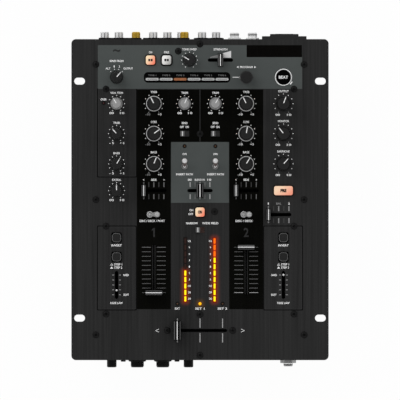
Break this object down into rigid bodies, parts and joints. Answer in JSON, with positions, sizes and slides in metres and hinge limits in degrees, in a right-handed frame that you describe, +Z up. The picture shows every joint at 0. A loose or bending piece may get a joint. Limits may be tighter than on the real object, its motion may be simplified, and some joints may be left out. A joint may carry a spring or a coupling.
{
  "type": "dj mixer",
  "caption": "Tabletop and rack two-channel DJ mixer: black control panel with knobs, faders, switches, lit keys and meters on a shallow steel case with rear and front sockets.",
  "frame": {"origin": "on the floor plane under the middle of the control panel", "axes": "+X to the user's right, +Y to the rear connectors, +Z up"},
  "size_m": [0.254, 0.3318, 0.1056],
  "materials": {
    "panel_black": "brushed, black anodised, satin",
    "case_black": "fine powder coat",
    "foot_rubber": "matte",
    "screw_black": "black zinc, satin",
    "board_green": "solder mask",
    "switch_black": "moulded",
    "connector_metal": "plated",
    "socket_black": "moulded",
    "lamp_lens": "smoked lens",
    "knob_black": "satin, soft-touch",
    "knob_silver": "silver paint, satin",
    "cap_black": "satin",
    "stub_white": "satin",
    "toggle_chrome": "polished plate",
    "key_lit": "translucent, lit from inside",
    "key_white": "translucent",
    "key_black": "satin"
  },
  "bodies": {
    "mixer_body": {"top_panel": "panel_black", "chassis_tray": "case_black", "front_plate": "case_black", "rear_plate": "case_black", "feet": "foot_rubber", "fasteners": "screw_black", "circuit_boards": "board_green", "control_bodies": "switch_black", "rca_jacks": "connector_metal", "panel_sockets": "socket_black", "indicators": "lamp_lens"},
    "fx_assign_knob": {"fx_assign_knob": "knob_black"},
    "fx_frequency_knob": {"fx_frequency_knob": "knob_black"},
    "mic_gain_knob": {"mic_gain_knob": "knob_silver"},
    "mic_high_knob": {"mic_high_knob": "knob_black"},
    "mic_low_knob": {"mic_low_knob": "knob_black"},
    "aux_in_knob": {"aux_in_knob": "knob_black"},
    "ch1_gain_knob": {"ch1_gain_knob": "knob_silver"},
    "ch1_high_knob": {"ch1_high_knob": "knob_black"},
    "ch1_mid_knob": {"ch1_mid_knob": "knob_black"},
    "ch1_low_knob": {"ch1_low_knob": "knob_black"},
    "ch2_gain_knob": {"ch2_gain_knob": "knob_silver"},
    "ch2_high_knob": {"ch2_high_knob": "knob_black"},
    "ch2_mid_knob": {"ch2_mid_knob": "knob_black"},
    "ch2_low_knob": {"ch2_low_knob": "knob_black"},
    "master_knob": {"master_knob": "knob_black"},
    "aux_out_knob": {"aux_out_knob": "knob_black"},
    "cue_gain_knob": {"cue_gain_knob": "knob_black"},
    "fx_select_knob": {"fx_select_knob": "knob_black"},
    "front_knob_left": {"front_knob_left": "knob_black"},
    "front_knob_right": {"front_knob_right": "knob_black"},
    "fx_intensity_slider": {"fx_intensity_slider": "cap_black"},
    "ch1_pan_slider": {"ch1_pan_slider": "cap_black"},
    "ch2_pan_slider": {"ch2_pan_slider": "cap_black"},
    "fx_loop_slider": {"fx_loop_slider": "cap_black"},
    "cue_mix_slider": {"cue_mix_slider": "cap_black"},
    "ch1_fader": {"ch1_fader": "cap_black"},
    "ch2_fader": {"ch2_fader": "cap_black"},
    "crossfader": {"crossfader": "cap_black"},
    "ch1_contour_slider": {"ch1_contour_slider": "stub_white"},
    "ch2_contour_slider": {"ch2_contour_slider": "stub_white"},
    "ch1_fx_switch": {"ch1_fx_switch": "cap_black"},
    "ch2_fx_switch": {"ch2_fx_switch": "cap_black"},
    "mono_stereo_switch": {"mono_stereo_switch": "cap_black"},
    "ch1_input_toggle": {"ch1_input_toggle": "toggle_chrome"},
    "ch2_input_toggle": {"ch2_input_toggle": "toggle_chrome"},
    "ch1_fx_loop_toggle": {"ch1_fx_loop_toggle": "toggle_chrome"},
    "ch2_fx_loop_toggle": {"ch2_fx_loop_toggle": "toggle_chrome"},
    "fx_on_button": {"fx_on_button": "key_lit"},
    "fx_cue_button": {"fx_cue_button": "key_white"},
    "tap_button": {"tap_button": "key_black"},
    "cue_button": {"cue_button": "key_lit"},
    "fx_center_button": {"fx_center_button": "key_lit"},
    "ch1_reverse_button": {"ch1_reverse_button": "key_black"},
    "ch1_mode_button": {"ch1_mode_button": "key_black"},
    "ch2_reverse_button": {"ch2_reverse_button": "key_black"},
    "ch2_mode_button": {"ch2_mode_button": "key_black"},
    "front_button_left": {"front_button_left": "key_black"},
    "front_button_right": {"front_button_right": "key_black"},
    "power_rocker": {"power_rocker": "key_black"}
  },
  "joints": [
    {"name": "fx_assign_turn", "type": "hinge", "parent": "mixer_body", "child": "fx_assign_knob", "pos_m": [-0.0824, 0.1209, 0.09], "axis": [0, 0, 1], "range_deg": [-5, 85]},
    {"name": "fx_frequency_turn", "type": "hinge", "parent": "mixer_body", "child": "fx_frequency_knob", "pos_m": [-0.0104, 0.1378, 0.09], "axis": [0, 0, 1], "range_deg": [-209, 91]},
    {"name": "mic_gain_turn", "type": "hinge", "parent": "mixer_body", "child": "mic_gain_knob", "pos_m": [-0.0824, 0.0948, 0.09], "axis": [0, 0, 1], "range_deg": [-182, 118]},
    {"name": "mic_high_turn", "type": "hinge", "parent": "mixer_body", "child": "mic_high_knob", "pos_m": [-0.0824, 0.0652, 0.09], "axis": [0, 0, 1], "range_deg": [-192, 108]},
    {"name": "mic_low_turn", "type": "hinge", "parent": "mixer_body", "child": "mic_low_knob", "pos_m": [-0.0824, 0.0353, 0.09], "axis": [0, 0, 1], "range_deg": [-118, 182]},
    {"name": "aux_in_turn", "type": "hinge", "parent": "mixer_body", "child": "aux_in_knob", "pos_m": [-0.0824, 0.0089, 0.09], "axis": [0, 0, 1], "range_deg": [-150, 150]},
    {"name": "ch1_gain_turn", "type": "hinge", "parent": "mixer_body", "child": "ch1_gain_knob", "pos_m": [-0.0152, 0.0948, 0.09], "axis": [0, 0, 1], "range_deg": [-128, 172]},
    {"name": "ch1_high_turn", "type": "hinge", "parent": "mixer_body", "child": "ch1_high_knob", "pos_m": [-0.0456, 0.0948, 0.09], "axis": [0, 0, 1], "range_deg": [-176, 124]},
    {"name": "ch1_mid_turn", "type": "hinge", "parent": "mixer_body", "child": "ch1_mid_knob", "pos_m": [-0.0456, 0.0652, 0.09], "axis": [0, 0, 1], "range_deg": [-96, 204]},
    {"name": "ch1_low_turn", "type": "hinge", "parent": "mixer_body", "child": "ch1_low_knob", "pos_m": [-0.0456, 0.0353, 0.09], "axis": [0, 0, 1], "range_deg": [-128, 172]},
    {"name": "ch2_gain_turn", "type": "hinge", "parent": "mixer_body", "child": "ch2_gain_knob", "pos_m": [0.0152, 0.0948, 0.09], "axis": [0, 0, 1], "range_deg": [-122, 178]},
    {"name": "ch2_high_turn", "type": "hinge", "parent": "mixer_body", "child": "ch2_high_knob", "pos_m": [0.0456, 0.0948, 0.09], "axis": [0, 0, 1], "range_deg": [-176, 124]},
    {"name": "ch2_mid_turn", "type": "hinge", "parent": "mixer_body", "child": "ch2_mid_knob", "pos_m": [0.0456, 0.0652, 0.09], "axis": [0, 0, 1], "range_deg": [-140, 160]},
    {"name": "ch2_low_turn", "type": "hinge", "parent": "mixer_body", "child": "ch2_low_knob", "pos_m": [0.0456, 0.0353, 0.09], "axis": [0, 0, 1], "range_deg": [-118, 182]},
    {"name": "master_turn", "type": "hinge", "parent": "mixer_body", "child": "master_knob", "pos_m": [0.0824, 0.0948, 0.09], "axis": [0, 0, 1], "range_deg": [-130, 170]},
    {"name": "aux_out_turn", "type": "hinge", "parent": "mixer_body", "child": "aux_out_knob", "pos_m": [0.0824, 0.0652, 0.09], "axis": [0, 0, 1], "range_deg": [-188, 112]},
    {"name": "cue_gain_turn", "type": "hinge", "parent": "mixer_body", "child": "cue_gain_knob", "pos_m": [0.0824, 0.0353, 0.09], "axis": [0, 0, 1], "range_deg": [-108, 192]},
    {"name": "fx_select_turn", "type": "hinge", "parent": "mixer_body", "child": "fx_select_knob", "pos_m": [0.0458, 0.1209, 0.09], "axis": [0, 0, 1], "continuous": true},
    {"name": "front_knob_left_turn", "type": "hinge", "parent": "mixer_body", "child": "front_knob_left", "pos_m": [-0.062, -0.157, 0.06], "axis": [0, -1, 0], "range_deg": [-150, 150]},
    {"name": "front_knob_right_turn", "type": "hinge", "parent": "mixer_body", "child": "front_knob_right", "pos_m": [-0.0368, -0.157, 0.06], "axis": [0, -1, 0], "range_deg": [-150, 150]},
    {"name": "fx_intensity_slider_travel", "type": "slide", "parent": "mixer_body", "child": "fx_intensity_slider", "axis": [1, 0, 0], "range_m": [-0.01, 0.01]},
    {"name": "ch1_pan_slider_travel", "type": "slide", "parent": "mixer_body", "child": "ch1_pan_slider", "axis": [1, 0, 0], "range_m": [0, 0.02]},
    {"name": "ch2_pan_slider_travel", "type": "slide", "parent": "mixer_body", "child": "ch2_pan_slider", "axis": [1, 0, 0], "range_m": [0, 0.02]},
    {"name": "fx_loop_slider_travel", "type": "slide", "parent": "mixer_body", "child": "fx_loop_slider", "axis": [1, 0, 0], "range_m": [-0.01, 0.01]},
    {"name": "cue_mix_slider_travel", "type": "slide", "parent": "mixer_body", "child": "cue_mix_slider", "axis": [1, 0, 0], "range_m": [0, 0.02]},
    {"name": "ch1_fader_travel", "type": "slide", "parent": "mixer_body", "child": "ch1_fader", "axis": [0, 1, 0], "range_m": [0, 0.045]},
    {"name": "ch2_fader_travel", "type": "slide", "parent": "mixer_body", "child": "ch2_fader", "axis": [0, 1, 0], "range_m": [-0.045, 0]},
    {"name": "crossfader_travel", "type": "slide", "parent": "mixer_body", "child": "crossfader", "axis": [1, 0, 0], "range_m": [0, 0.045]},
    {"name": "ch1_contour_slider_travel", "type": "slide", "parent": "mixer_body", "child": "ch1_contour_slider", "axis": [0, 1, 0], "range_m": [-0.0047, 0.0153]},
    {"name": "ch2_contour_slider_travel", "type": "slide", "parent": "mixer_body", "child": "ch2_contour_slider", "axis": [0, 1, 0], "range_m": [-0.02, 0]},
    {"name": "ch1_fx_switch_travel", "type": "slide", "parent": "mixer_body", "child": "ch1_fx_switch", "axis": [1, 0, 0], "range_m": [0, 0.0042]},
    {"name": "ch2_fx_switch_travel", "type": "slide", "parent": "mixer_body", "child": "ch2_fx_switch", "axis": [1, 0, 0], "range_m": [0, 0.0042]},
    {"name": "mono_stereo_switch_travel", "type": "slide", "parent": "mixer_body", "child": "mono_stereo_switch", "axis": [1, 0, 0], "range_m": [0, 0.0042]},
    {"name": "ch1_input_tilt", "type": "hinge", "parent": "mixer_body", "child": "ch1_input_toggle", "pos_m": [-0.0495, -0.0146, 0.0904], "axis": [0, 1, 0], "range_deg": [-64, 0]},
    {"name": "ch2_input_tilt", "type": "hinge", "parent": "mixer_body", "child": "ch2_input_toggle", "pos_m": [0.0432, -0.0146, 0.0904], "axis": [0, 1, 0], "range_deg": [-46, 0]},
    {"name": "ch1_fx_loop_tilt", "type": "hinge", "parent": "mixer_body", "child": "ch1_fx_loop_toggle", "pos_m": [-0.0152, 0.033, 0.0904], "axis": [1, 0, 0], "range_deg": [0, 46]},
    {"name": "ch2_fx_loop_tilt", "type": "hinge", "parent": "mixer_body", "child": "ch2_fx_loop_toggle", "pos_m": [0.0152, 0.033, 0.0904], "axis": [1, 0, 0], "range_deg": [0, 46]},
    {"name": "fx_on_button_press", "type": "slide", "parent": "mixer_body", "child": "fx_on_button", "axis": [0, 0, -1], "range_m": [0, 0.0012], "stiffness_N_per_m": 300},
    {"name": "fx_cue_button_press", "type": "slide", "parent": "mixer_body", "child": "fx_cue_button", "axis": [0, 0, -1], "range_m": [0, 0.0012], "stiffness_N_per_m": 300},
    {"name": "tap_button_press", "type": "slide", "parent": "mixer_body", "child": "tap_button", "axis": [0, 0, -1], "range_m": [0, 0.0012], "stiffness_N_per_m": 300},
    {"name": "cue_button_press", "type": "slide", "parent": "mixer_body", "child": "cue_button", "axis": [0, 0, -1], "range_m": [0, 0.0012], "stiffness_N_per_m": 300},
    {"name": "fx_center_button_press", "type": "slide", "parent": "mixer_body", "child": "fx_center_button", "axis": [0, 0, -1], "range_m": [0, 0.0012], "stiffness_N_per_m": 300},
    {"name": "ch1_reverse_button_press", "type": "slide", "parent": "mixer_body", "child": "ch1_reverse_button", "axis": [0, 0, -1], "range_m": [0, 0.0012], "stiffness_N_per_m": 300},
    {"name": "ch1_mode_button_press", "type": "slide", "parent": "mixer_body", "child": "ch1_mode_button", "axis": [0, 0, -1], "range_m": [0, 0.0012], "stiffness_N_per_m": 300},
    {"name": "ch2_reverse_button_press", "type": "slide", "parent": "mixer_body", "child": "ch2_reverse_button", "axis": [0, 0, -1], "range_m": [0, 0.0012], "stiffness_N_per_m": 300},
    {"name": "ch2_mode_button_press", "type": "slide", "parent": "mixer_body", "child": "ch2_mode_button", "axis": [0, 0, -1], "range_m": [0, 0.0012], "stiffness_N_per_m": 300},
    {"name": "front_button_left_press", "type": "slide", "parent": "mixer_body", "child": "front_button_left", "axis": [0, 1, 0], "range_m": [0, 0.0012], "stiffness_N_per_m": 300},
    {"name": "front_button_right_press", "type": "slide", "parent": "mixer_body", "child": "front_button_right", "axis": [0, 1, 0], "range_m": [0, 0.0012], "stiffness_N_per_m": 300},
    {"name": "power_rocker_tilt", "type": "hinge", "parent": "mixer_body", "child": "power_rocker", "pos_m": [0.0834, 0.1606, 0.032], "axis": [1, 0, 0], "range_deg": [-14, 0]}
  ]
}
